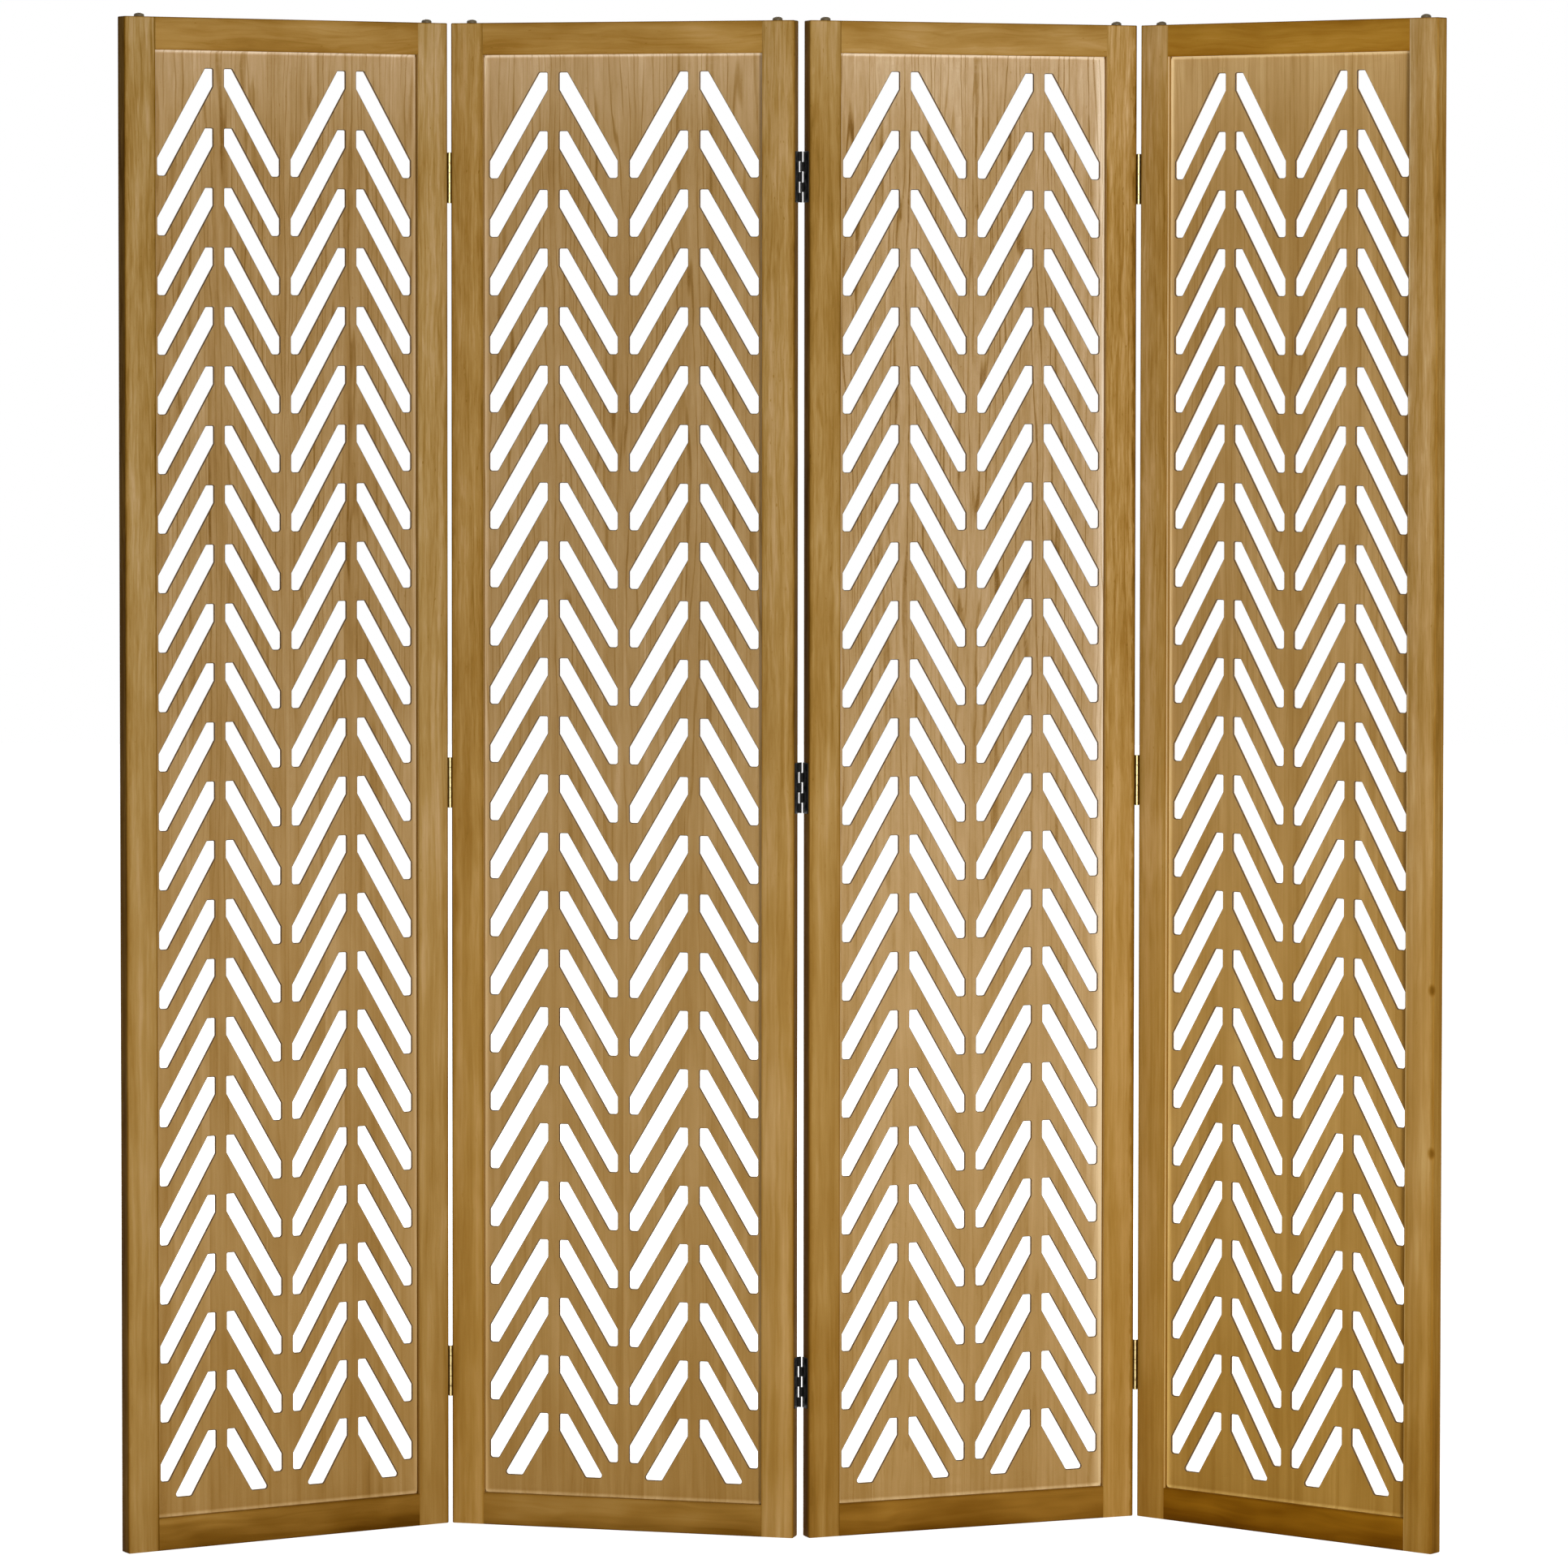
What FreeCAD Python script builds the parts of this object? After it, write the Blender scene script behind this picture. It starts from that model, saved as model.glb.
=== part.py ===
import FreeCAD, Part
import math
import os

# A folding screen of four framed fretwork panels, joined edge to edge by nine butt hinges.
# The screen stands on the XY plane in its half-open zigzag, seen from the front, which faces -Y.
# Each panel is drawn in its own frame, with X across it, Y from its front face to its back and Z up.

# Panel frames
panel_height = 1700.0
panel_width = 400.0
frame_thickness = 18.0
stile_width = 37.5
rail_height = 36.0
edge_radius = 1.5
groove_depth = 8.0
panel_angles = (30.3, -14.5, 21.8, -38.2)

# Fretwork boards
board_thickness = 3.0
board_play = 0.1
board_end_gap = 0.5

# Slots of the fretwork: slanted cuts in columns, each leaning against the next
slot_columns = 4
slot_angle = 59.5
slot_opening = 17.2
slot_pitch = 65.9
web_width = 14.6
slot_top_trim = 12.6
slot_bottom_trim = 16.8
pattern_side_margin = 6.0
pattern_top_margin = 20.0
pattern_bottom_margin = 21.2
shortest_slot = 25.0

# Caps on the tops of the stiles
cap_radius = 5.75
cap_rim_height = 1.4
cap_height = 4.5
cap_crown_radius = 3.0
cap_offset = 3.25

# Butt hinges
hinge_length = 57.0
hinge_end_distance = 174.0
middle_hinge_drop = 7.0
knuckle_count = 5
knuckle_gap = 0.2
barrel_clearance = 0.3
leaf_thickness = 0.8
leaf_width = 15.0
pin_clearance = 0.05

# The many small turned parts are drawn with flats
barrel_sides = 6
bore_sides = 4
pin_sides = 8
cap_sides = 8

# Each hinge line, from left to right: the face that its barrels are on, the gap between the panels' edges,
# and the radii of its barrels and pins. The middle line has slighter hinges than the other two.
hinge_faces = ("front", "back", "front")
leaf_gaps = (2.0, 5.4, 2.0)
barrel_radii = (2.1, 1.3, 2.1)
pin_radii = (0.9, 0.55, 0.9)

opening_width = panel_width - 2 * stile_width
pattern_width = opening_width - 2 * pattern_side_margin
slot_width = (pattern_width - (slot_columns - 1) * web_width) / slot_columns
mid_thickness = frame_thickness / 2
tenon_height = rail_height - groove_depth
tenon_length = groove_depth - board_end_gap
groove_width = board_thickness + 2 * board_play
axis_standoffs = tuple(radius + barrel_clearance for radius in barrel_radii)


def box(low, high):
    """A box between two opposite corners."""
    size = [end - start for start, end in zip(low, high)]
    return Part.makeBox(*size, FreeCAD.Vector(*low))


def prism(outline, low, high):
    """A plan outline of (x, y) points, extruded from one height to another."""
    face = flat_face([FreeCAD.Vector(x, y, low) for x, y in outline])
    return face.extrude(FreeCAD.Vector(0, 0, high - low))


def turned_outline(radius, sides):
    """The flats of a small turned part, whose corners lie at the radius."""
    step = 2 * math.pi / sides
    angles = [step * (side + 1 / 2) for side in range(sides)]
    return [(radius * math.cos(angle), radius * math.sin(angle)) for angle in angles]


def flat_face(corners):
    """A flat face through its corners."""
    return Part.Face(Part.makePolygon(corners + corners[:1]))


def stile(side):
    """An upright with rounded outer edges and a groove for the board along its inner edge."""
    left = 0 if side == "left" else panel_width - stile_width
    right = left + stile_width
    outer, inner, inward = (left, right, -1) if side == "left" else (right, left, 1)
    piece = box((left, 0, 0), (right, frame_thickness, panel_height))
    outer_edges = [edge for edge in piece.Edges
                   if abs(edge.CenterOfMass.x - outer) < edge_radius and edge.Length > stile_width]
    piece = piece.makeFillet(edge_radius, outer_edges)
    groove_x = sorted((inner, inner + inward * groove_depth))
    groove = box((groove_x[0], mid_thickness - groove_width / 2, 0),
                 (groove_x[1], mid_thickness + groove_width / 2, panel_height))
    return piece.cut(groove)


def rail(level):
    """A crosspiece between the stiles, grooved for the board, with a stub tenon on each end."""
    low = 0 if level == "bottom" else panel_height - rail_height
    high = low + rail_height
    if level == "bottom":
        groove_z, tenon_z = (high - groove_depth, high), (low, low + tenon_height)
    else:
        groove_z, tenon_z = (low, low + groove_depth), (high - tenon_height, high)
    left, right = stile_width, panel_width - stile_width
    body = box((left, 0, low), (right, frame_thickness, high))
    groove = box((left, mid_thickness - groove_width / 2, groove_z[0]),
                 (right, mid_thickness + groove_width / 2, groove_z[1]))
    tenons = box((left - tenon_length, mid_thickness - board_thickness / 2, tenon_z[0]),
                 (right + tenon_length, mid_thickness + board_thickness / 2, tenon_z[1]))
    return body.cut(groove).fuse(tenons).removeSplitter()


def trimmed(outline, level, keep):
    """The part of an (x, z) outline above the level where keep is 1, or below it where keep is -1."""
    kept = []
    for (x0, z0), (x1, z1) in zip(outline, outline[1:] + outline[:1]):
        inside, next_inside = keep * (z0 - level) >= 0, keep * (z1 - level) >= 0
        if inside:
            kept.append((x0, z0))
        if inside != next_inside:
            share = (level - z0) / (z1 - z0)
            kept.append((x0 + share * (x1 - x0), level))
    return kept


def slot_outline(left, top, lowest, leans_right):
    """One slot: a slanted strip with upright ends, its sharp corners trimmed level."""
    slope = math.tan(math.radians(slot_angle))
    rise = slot_width * slope
    end_height = slot_opening / math.cos(math.radians(slot_angle))
    base = top + slot_top_trim - rise - end_height
    strip = [(0, base), (slot_width, base + rise), (slot_width, base + rise + end_height), (0, base + end_height)]
    strip = trimmed(strip, top, -1)
    strip = trimmed(strip, max(lowest, base + slot_bottom_trim), 1)
    if leans_right:
        return [(left + x, z) for x, z in strip]
    return [(left + slot_width - x, z) for x, z in reversed(strip)]


def fretwork():
    """The thin board in the frame's grooves, with its columns of slots leaning together in pairs."""
    reach = groove_depth - board_end_gap
    front = mid_thickness - board_thickness / 2
    low, high = rail_height - reach, panel_height - rail_height + reach
    left, right = stile_width - reach, panel_width - stile_width + reach
    outlines = [[(left, low), (right, low), (right, high), (left, high)]]
    pattern_left = stile_width + pattern_side_margin
    pattern_top = panel_height - rail_height - pattern_top_margin
    pattern_bottom = rail_height + pattern_bottom_margin
    rows = 1 + int((pattern_top - pattern_bottom - shortest_slot) / slot_pitch)
    for column in range(slot_columns):
        for row in range(rows):
            outlines.append(slot_outline(pattern_left + column * (slot_width + web_width),
                                         pattern_top - row * slot_pitch, pattern_bottom, column % 2 == 0))
    wires = []
    for outline in outlines:
        corners = [FreeCAD.Vector(x, front, z) for x, z in outline]
        wires.append(Part.makePolygon(corners + corners[:1]))
    return Part.Face(wires).extrude(FreeCAD.Vector(0, board_thickness, 0))


def cap(side):
    """A small domed cap on the top of a stile, a little inside its centreline."""
    inset = stile_width / 2 + cap_offset
    x = inset if side == "left" else panel_width - inset
    levels = ((cap_radius, 0), (cap_radius, cap_rim_height), (cap_crown_radius, cap_height))
    rings = [[FreeCAD.Vector(x + across, mid_thickness + through, panel_height + height)
              for across, through in turned_outline(radius, cap_sides)] for radius, height in levels]
    faces = [flat_face(rings[0]), flat_face(rings[-1])]
    for lower, upper in zip(rings, rings[1:]):
        for side in range(cap_sides):
            following = (side + 1) % cap_sides
            faces.append(flat_face([lower[side], lower[following], upper[following], upper[side]]))
    return Part.Solid(Part.Shell(faces))


def from_hinge_axis(edge, line):
    """Gives a panel's (x, y) for a place near the hinge axis of one of its edges.

    The place is how far it lies from the axis towards the panel's middle, and how far through its
    thickness from the face that has the barrels."""
    reach = leaf_gaps[line] / 2
    axis_x, inward = (-reach, 1) if edge == "left" else (panel_width + reach, -1)
    if hinge_faces[line] == "front":
        axis_y, through = -axis_standoffs[line], 1
    else:
        axis_y, through = frame_thickness + axis_standoffs[line], -1
    return lambda along, across: (axis_x + inward * along, axis_y + through * across)


def knuckle_heights(index, base):
    """The bottom and top of one knuckle of a hinge."""
    length = (hinge_length - (knuckle_count - 1) * knuckle_gap) / knuckle_count
    low = base + index * (length + knuckle_gap)
    return low, low + length


def leaf(edge, line, base):
    """A hinge leaf on a panel's edge. A right edge's leaf has the first, third and fifth knuckles."""
    place = from_hinge_axis(edge, line)
    near, far = leaf_gaps[line] / 2 - leaf_thickness, leaf_gaps[line] / 2
    start, end = axis_standoffs[line], axis_standoffs[line] + leaf_width
    plate = [(near, start), (far, start), (far, end), (near, end)]
    neck = [(0, -leaf_thickness / 2), (far, start - leaf_thickness), (far, start), (near, start),
            (0, leaf_thickness / 2)]
    pieces = [prism([place(*point) for point in plate], base, base + hinge_length)]
    barrel_outline = turned_outline(barrel_radii[line], barrel_sides)
    bore_radius = (pin_radii[line] + pin_clearance) / math.cos(math.pi / bore_sides)
    for index in range(0 if edge == "right" else 1, knuckle_count, 2):
        low, high = knuckle_heights(index, base)
        barrel = prism([place(*point) for point in barrel_outline], low, high)
        barrel = barrel.fuse(prism([place(*point) for point in neck], low, high))
        bore = prism([place(*point) for point in turned_outline(bore_radius, bore_sides)], low, high)
        pieces.append(barrel.cut(bore))
    return pieces[0].fuse(pieces[1:]).removeSplitter()


def pin(line, base):
    """The pin of a hinge, on the axis at a panel's right edge."""
    place = from_hinge_axis("right", line)
    outline = turned_outline(pin_radii[line], pin_sides)
    return prism([place(*point) for point in outline], base, base + hinge_length)


def hinge_axis(left_panel, line):
    """Where a hinge line's axis stands, from the place of the panel to its left."""
    return left_panel.multVec(FreeCAD.Vector(*from_hinge_axis("right", line)(0, 0), 0))


def panel_places():
    """Where each panel stands, with every hinge axis shared by the two panels that it joins."""
    up = FreeCAD.Vector(0, 0, 1)
    places = []
    for index, angle in enumerate(panel_angles):
        turn = FreeCAD.Rotation(up, angle)
        origin = FreeCAD.Vector(0, 0, 0)
        if index:
            axis = hinge_axis(places[-1], index - 1)
            origin = axis - turn.multVec(FreeCAD.Vector(*from_hinge_axis("left", index - 1)(0, 0), 0))
        places.append(FreeCAD.Placement(origin, turn))
    return places


def panel_pieces(number):
    """One panel's frame, board and caps, in the panel's own frame."""
    return {
        f"panel_{number}_left_stile": stile("left"),
        f"panel_{number}_right_stile": stile("right"),
        f"panel_{number}_top_rail": rail("top"),
        f"panel_{number}_bottom_rail": rail("bottom"),
        f"panel_{number}_fretwork": fretwork(),
        f"panel_{number}_left_cap": cap("left"),
        f"panel_{number}_right_cap": cap("right"),
    }


def hinge_bases():
    """The height of the bottom of each hinge on a line of three."""
    centres = {
        "top": panel_height - hinge_end_distance,
        "middle": panel_height / 2 - middle_hinge_drop,
        "bottom": hinge_end_distance,
    }
    return {name: centre - hinge_length / 2 for name, centre in centres.items()}


def placed_nodes():
    """Every node at its place in the standing screen, and the hinge axes."""
    places = panel_places()
    nodes = {}
    for number, place in enumerate(places, start=1):
        for name, piece in panel_pieces(number).items():
            nodes[name] = piece.transformed(place.toMatrix())
    axes = []
    for line, (left_panel, right_panel) in enumerate(zip(places, places[1:])):
        axes.append(hinge_axis(left_panel, line))
        for name, base in hinge_bases().items():
            hinge = f"hinge_{line + 1}_{name}"
            nodes[f"{hinge}_left_leaf"] = leaf("right", line, base).transformed(left_panel.toMatrix())
            nodes[f"{hinge}_right_leaf"] = leaf("left", line, base).transformed(right_panel.toMatrix())
            nodes[f"{hinge}_pin"] = pin(line, base).transformed(left_panel.toMatrix())
    return nodes, axes


def centred(nodes, axes):
    """Moves everything so that the origin is at the bottom centre of the whole screen."""
    bounds = Part.makeCompound(list(nodes.values())).BoundBox
    shift = FreeCAD.Vector(-bounds.Center.x, -bounds.Center.y, -bounds.ZMin)
    moved = {name: piece.translated(shift) for name, piece in nodes.items()}
    return moved, [axis + shift for axis in axes]


nodes, hinge_axes = centred(*placed_nodes())
os.makedirs("parts", exist_ok=True)
for name, piece in nodes.items():
    piece.exportStep(f"parts/{name}.step")
for number, axis in enumerate(hinge_axes, start=1):
    print(f"hinge line {number} stands at x {axis.x:.3f}, y {axis.y:.3f}")
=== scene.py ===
import math
import bpy
import bmesh
from mathutils import Matrix, Vector


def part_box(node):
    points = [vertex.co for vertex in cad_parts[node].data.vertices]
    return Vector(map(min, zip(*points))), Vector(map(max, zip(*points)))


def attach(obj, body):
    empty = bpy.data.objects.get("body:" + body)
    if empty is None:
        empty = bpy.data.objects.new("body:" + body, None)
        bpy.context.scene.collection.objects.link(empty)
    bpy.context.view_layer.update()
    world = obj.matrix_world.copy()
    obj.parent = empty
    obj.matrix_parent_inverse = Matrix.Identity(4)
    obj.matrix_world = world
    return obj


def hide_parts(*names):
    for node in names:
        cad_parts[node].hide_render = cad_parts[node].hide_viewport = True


# A folding screen of four framed fretwork panels, dressed over its fixed frame.
# Lengths are in metres. Each panel is drawn in its own space, with X across it from its middle,
# Y from the middle of its thickness towards the back, and Z up from the floor.

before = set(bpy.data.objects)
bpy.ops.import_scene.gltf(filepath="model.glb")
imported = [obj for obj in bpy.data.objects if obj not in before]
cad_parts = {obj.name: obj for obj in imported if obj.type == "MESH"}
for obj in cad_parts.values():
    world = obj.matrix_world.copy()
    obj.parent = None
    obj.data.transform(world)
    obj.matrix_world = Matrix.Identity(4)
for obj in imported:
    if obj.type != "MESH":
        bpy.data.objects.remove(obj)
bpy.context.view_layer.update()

MM = 0.001
PANELS = (1, 2, 3, 4)
HINGE_LINES = (1, 2, 3)
HINGE_LEVELS = ("bottom", "middle", "top")

# Panel frames
PANEL_WIDTH = 400 * MM
PANEL_HEIGHT = 1700 * MM
FRAME_THICKNESS = 18 * MM
STILE_WIDTH = 37.5 * MM
RAIL_HEIGHT = 36 * MM
EDGE_RADIUS = 1.5 * MM
ARRIS = 0.5 * MM
TENON_ARRIS = ARRIS / 3
GROOVE_DEPTH = 8 * MM
GROOVE_WIDTH = 3.2 * MM
HALF_OPENING = PANEL_WIDTH / 2 - STILE_WIDTH
FRONT = -FRAME_THICKNESS / 2

# Fretwork boards
BOARD_THICKNESS = 3 * MM
BOARD_REACH = 7.5 * MM
STRIP_WIDTH = 24 * MM
# The slots' rims are a dark chamfer of painted shade
SLOT_SHADE_CHAMFER = 0.7 * MM
SLOT_COLUMNS = 4
SLOT_ANGLE = math.radians(59.5)
SLOT_OPENING = 18 * MM
SLOT_PITCH = 65.9 * MM
WEB_WIDTH = 14 * MM
SLOT_TOP_TRIM = 16 * MM
SLOT_BOTTOM_TRIM = 16.2 * MM
PATTERN_SIDE_MARGIN = 5.7 * MM
PATTERN_TOP_MARGIN = 20 * MM
PATTERN_BOTTOM_MARGIN = 21.2 * MM
SHORTEST_SLOT = 25 * MM
SLOT_TOP_RADIUS = 1.5 * MM
SLOT_SIDE_RADIUS = 1.0 * MM
SLOT_BOTTOM_RADIUS = 2.8 * MM
# The cove along the frame: distances from the frame and rises from the board, in millimetres
COVE_PROFILE = ((4.4, 0), (3.6, 0.04), (2.7, 0.18), (1.8, 0.42), (1.0, 0.74), (0.3, 1.15), (0.05, 1.3))
COVE_CORNER_RADIUS = 4 * MM

# Caps
CAP_RADIUS = 5.75 * MM
CAP_RIM_HEIGHT = 1.4 * MM
CAP_HEIGHT = 4.5 * MM

# Hinges
HINGE_LENGTH = 57 * MM
KNUCKLES = 5
KNUCKLE_GAP = 0.2 * MM
HINGE_FACES = {1: "front", 2: "back", 3: "front"}
LEAF_GAPS = {1: 2 * MM, 2: 5.4 * MM, 3: 2 * MM}
BARREL_RADII = {1: 2.1 * MM, 2: 1.3 * MM, 3: 2.1 * MM}
PIN_RADII = {1: 0.9 * MM, 2: 0.55 * MM, 3: 0.9 * MM}
BARREL_CLEARANCE = 0.3 * MM
BARREL_SOFTENING = 0.25 * MM
PIN_CLEARANCE = 0.05 * MM
PIN_SOFTENING = 0.3 * MM
LEAF_THICKNESS = 0.8 * MM
LEAF_WIDTH = 15 * MM
LEAF_CORNER_RADIUS = 1.5 * MM
LEAF_ARRIS = 0.2 * MM
# Where a leaf's neck ends inside the barrel, and where its painted highlight starts, as shares of its radius
NECK_REACH_SHARE = 0.75
HIGHLIGHT_FROM_SHARE = 0.88

# Screws: their places as shares of a leaf's width and height, and the profile of their heads
SCREW_RADIUS = 3 * MM
SCREW_RISE = 0.15 * MM
SCREW_DEPTH = 0.3 * MM
SCREW_PLACE_SHARES = ((0.66, 0.15), (0.36, 0.5), (0.66, 0.85))
SCREW_HEAD_SHARES = (1, 0.85, 0.6, 0.3)

# How finely round forms are made, and the angles from which edges are bevelled and shaded as sharp
EDGE_STEPS = 6
ARRIS_STEPS = 2
COVE_CORNER_STEPS = 6
SLOT_CORNER_STEPS = 4
LEAF_CORNER_STEPS = 4
CAP_STEPS = 8
CAP_TURNS = 32
BARREL_TURNS = 28
SMALL_TURNS = 24
BEVELLED_ANGLE = math.radians(40)
SHARP_ANGLE = math.radians(35)
BOARD_SHARP_ANGLE = math.radians(25)

# The camera stands in front, a little above the middle, and looks slightly down
CAMERA_PLACE = (0.002, -7.9105, 1.3935)
CAMERA_PITCH = math.radians(2.37)
CAMERA_ROLL = math.radians(-0.05)
CAMERA_LENS = 162.2
CAMERA_SENSOR = 36
CAMERA_SHIFT = -0.1249
CAMERA_RANGE = 100

# Lamps: name, azimuth from the front in degrees, distance, height, size, and light on what faces it
LAMPS = (("key", 20, 5.0, 1.6, 0.5, 0.47),
         ("front", 3, 4.6, 0.6, 2.4, 0.515),
         ("back", 188, 4.4, 3.6, 2.4, 0.6))
WORLD_LIGHT = 0.15

# Floor, which glows less where it shows the screen's shadow
FLOOR_REACH = 14
FLOOR_DROP = 0.5 * MM
FLOOR_SHADOW_REACH = 1.4
FLOOR_GLOW = 0.87
FLOOR_SHADE = (226, 226, 224)
FLOOR_ROUGHNESS = 0.9
FLOOR_GLOSS = 0.1
WHITE = (255, 255, 255)

# The shades of wood, from dark to light, as places on a ramp and screen colours
FRAME_SHADES = ((0.0, (88, 54, 4)), (0.2, (118, 80, 20)), (0.4, (146, 106, 42)), (0.55, (163, 125, 62)),
                (0.7, (180, 143, 86)), (0.85, (198, 166, 114)), (1.0, (222, 194, 148)))
BOARD_SHADES = ((0.0, (90, 58, 14)), (0.2, (122, 85, 32)), (0.4, (148, 112, 58)), (0.55, (164, 130, 78)),
                (0.7, (181, 148, 100)), (0.85, (199, 169, 124)), (1.0, (224, 198, 156)))

# The tone of each panel, and what each kind of piece adds to it, as places on the ramp of shades
PANEL_TONES = {1: 0.5, 2: 0.5, 3: 0.55, 4: 0.57}
STILE_TONES = {(1, "left"): 0, (1, "right"): 0.02, (2, "left"): -0.01, (2, "right"): 0.07,
               (3, "left"): -0.07, (3, "right"): -0.01, (4, "left"): 0.02, (4, "right"): 0.08}
BOARD_TONES = {1: -0.03, 2: 0.02, 3: 0.04, 4: 0.02}
RAIL_TONES = {"top": {1: -0.12, 2: -0.06, 3: -0.1, 4: -0.12},
              "bottom": {1: -0.18, 2: -0.05, 3: -0.18, 4: -0.21}}
# How much blue the wood of each piece lacks, and how much green as a share of that
STILE_WARMTHS = {(1, "left"): -0.45, (1, "right"): -0.42, (2, "left"): -0.08, (2, "right"): -0.15,
                 (3, "left"): -0.28, (3, "right"): 0, (4, "left"): 0.04, (4, "right"): 0.06}
BOARD_WARMTHS = {1: -0.16, 2: -0.1, 3: -0.14, 4: 0.26}
RAIL_WARMTHS = {"top": {1: -0.05, 2: 0.1, 3: -0.04, 4: 0.66},
                "bottom": {1: -0.24, 2: -0.31, 3: 0.01, 4: 0.48}}
WARM_GREEN_SHARE = 0.2
# How much lighter a stile gets towards its foot, and a bottom rail towards its right end
STILE_SLANTS = {(2, "left"): 0.08, (2, "right"): 0.09, (3, "right"): 0.13, (4, "right"): -0.07}
# Panel 1's bottom rail darkens towards the hinge as painted shade
RAIL_SLANTS = {1: -0.12, 3: 0.05, 4: 0.04}
# Painted shade on a stile's edge face and in the crease by the board, and painted light on its inner side
EDGE_SHADE_TONES = {(1, "left"): -0.2, (2, "left"): -0.32, (3, "left"): -0.13, (4, "right"): -0.04}
EDGE_SHADE_TONE = -0.2
# Painted light on each stile's inner side
SIDE_LIGHT_TONES = {(1, "right"): 0.15, (2, "left"): 0.3, (3, "right"): 0.3, (4, "left"): 0.5}
SIDE_LIGHT_TONE = 0.2
# The crease beside the board gets painted shade, and on panel 4's right stile painted light
PAINTED_CREASE_TONES = {(1, "left"): -0.3, (2, "left"): -0.15, (2, "right"): -0.12, (3, "left"): -0.2,
                (4, "right"): 0.22}
PAINTED_CREASE_TONE = -0.06
# Painted light along the left and the right side of a board's frame, which on panel 4's right is painted
# shadow
PAINTED_BORDER_TONES = {1: (0.02, 0.06), 2: (0.06, 0), 3: (0.1, 0.2), 4: (0.1, -0.14)}
# What the mottled outer edge of a stile adds to its tone, and the height of the lower of its two knots
MOTTLE_TONES = {(3, "right"): -0.24, (4, "left"): -0.04}
MOTTLE_TONE = -0.06
KNOT_HEIGHTS = {(4, "right"): 446 * MM}
NO_KNOT = -2
# How strong the fine grain of a piece is, and what makes the pieces of a panel differ in figure
STILE_GRAINS = {(3, "left"): 0.8, (3, "right"): 1.5}
BOARD_GRAINS = {1: 0.75, 2: 0.75, 3: 1.3, 4: 0.4}
SEEDS = {"left": 0.1, "board": 0.2, "top": 0.3, "tenons": 0.4, "right": 0.6, "bottom": 0.8}

# Fades: from one distance to another, and from the value before the first to that after the second.
# These start from a stile's outer edge, its inner edge, the front of the frame or the top of the panel.
# Mask of the outer edge face, which gets painted shade
STILE_EDGE_SHADE_FADE = (0.4 * MM, 1.6 * MM, 1, 0)
# Painted shade on the outer rounding, along the outer edge and along the inner edge
STILE_ROUNDING_SHADE = (1 * MM, 3 * MM, -0.08, 0)
STILE_OUTER_SHADE = (0, 12 * MM, -0.05, 0)
STILE_INNER_SHADE = (0, 7 * MM, -0.04, 0)
# Masks of the inner side, which gets painted light, and of the crease by the board, which gets painted shade
STILE_SIDE_LIGHT_FADES = ((0.1 * MM, 0.5 * MM, 1, 0), (0.2 * MM, 1 * MM, 0, 1))
STILE_PAINTED_CREASE_FADES = ((0.4 * MM, 2.6 * MM, 1, 0), (0.2 * MM, 0.5 * MM, 1, 0))
STILE_TOP_TONE = (0.3 * MM, 1.6 * MM, -0.35, 0)
MOTTLE_FADE = (2 * MM, 8 * MM, 1, 0)
# These start from a rail's outer edge, its inner edge, the front of the frame or the floor
RAIL_ARRIS_TONE = (0.3 * MM, 1.4 * MM, -0.3, 0)
# Painted shade along the outer and inner edges and near the floor, and painted light on the inner side
RAIL_OUTER_SHADE = (1 * MM, 9 * MM, -0.08, 0)
RAIL_INNER_SHADE = (0, 3 * MM, -0.1, 0)
RAIL_SIDE_LIGHT_FADES = ((0.1 * MM, 0.4 * MM, 0.3, 0), (0.8 * MM, 2 * MM, 0, 1))
RAIL_FLOOR_SHADE = (4 * MM, 26 * MM, -0.14, 0)
# These start from the frame on a board's left, its right, its nearest side, its top or its bottom
# Painted light beside the frame, and on panel 4's right painted shadow
LEFT_BORDER_LIGHT_FADE = (1 * MM, 8 * MM, 1, 0)
RIGHT_BORDER_LIGHT_FADE = (4 * MM, 14 * MM, 1, 0)
RIGHT_PAINTED_GLOW_FADE = (0, 140 * MM, 0.3, 0)
BOARD_RIM_TONE = (1.5 * MM, 4.5 * MM, 0.12, 0)
# Painted shade in the corner against the frame
BOARD_CORNER_SHADE = (0, 0.8 * MM, -0.05, 0)
BOARD_TOP_TONE = (1 * MM, 4 * MM, 0.2, 0)
BOARD_TOP_GLOW_TONE = (0, 110 * MM, 0.09, 0)
# Painted highlight along the board's foot
BOARD_BOTTOM_HIGHLIGHT = (1 * MM, 5 * MM, 0.14, 0)
# These run between heights given as shares of the panel's height
# Painted light and shade by height: lighter near the top, darker near the floor, and warmer lower down
PAINTED_HEIGHT_LIGHT_SHARES = ((0.87, 1, 0, 0.07), (0.46, 0.58, 0.04, 0), (0.04, 0.22, -0.05, 0))
PAINTED_HEIGHT_WARMTH_SHARES = ((0.05, 0.32, 0.13, 0), (0.32, 0.63, 0.14, -0.15), (0.72, 0.88, 0, 0.04))
FINE_GRAIN_SHARES = (0.3, 0.72, 0.25, 1)
STILE_SLANT_SHARES = (0, 0.36, 1, 0)

# Noises: breadth, length along the grain, detail and, where it has one, distortion
BANDS = (9 * MM, 360 * MM, 2, 0.4)
CLOUDS = (45 * MM, 130 * MM, 2)
FIBRES = (2.8 * MM, 36 * MM, 3, 0.4)
PORES = (0.8 * MM, 6 * MM, 2)
FLECKS = (3.2 * MM, 9 * MM, 1)
NOISE_ROUGHNESS = 0.55
# Where in its noise a pore or a fleck fades in
PORE_LEVELS = (0.6, 0.74)
FLECK_LEVELS = (0.74, 0.8)
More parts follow.
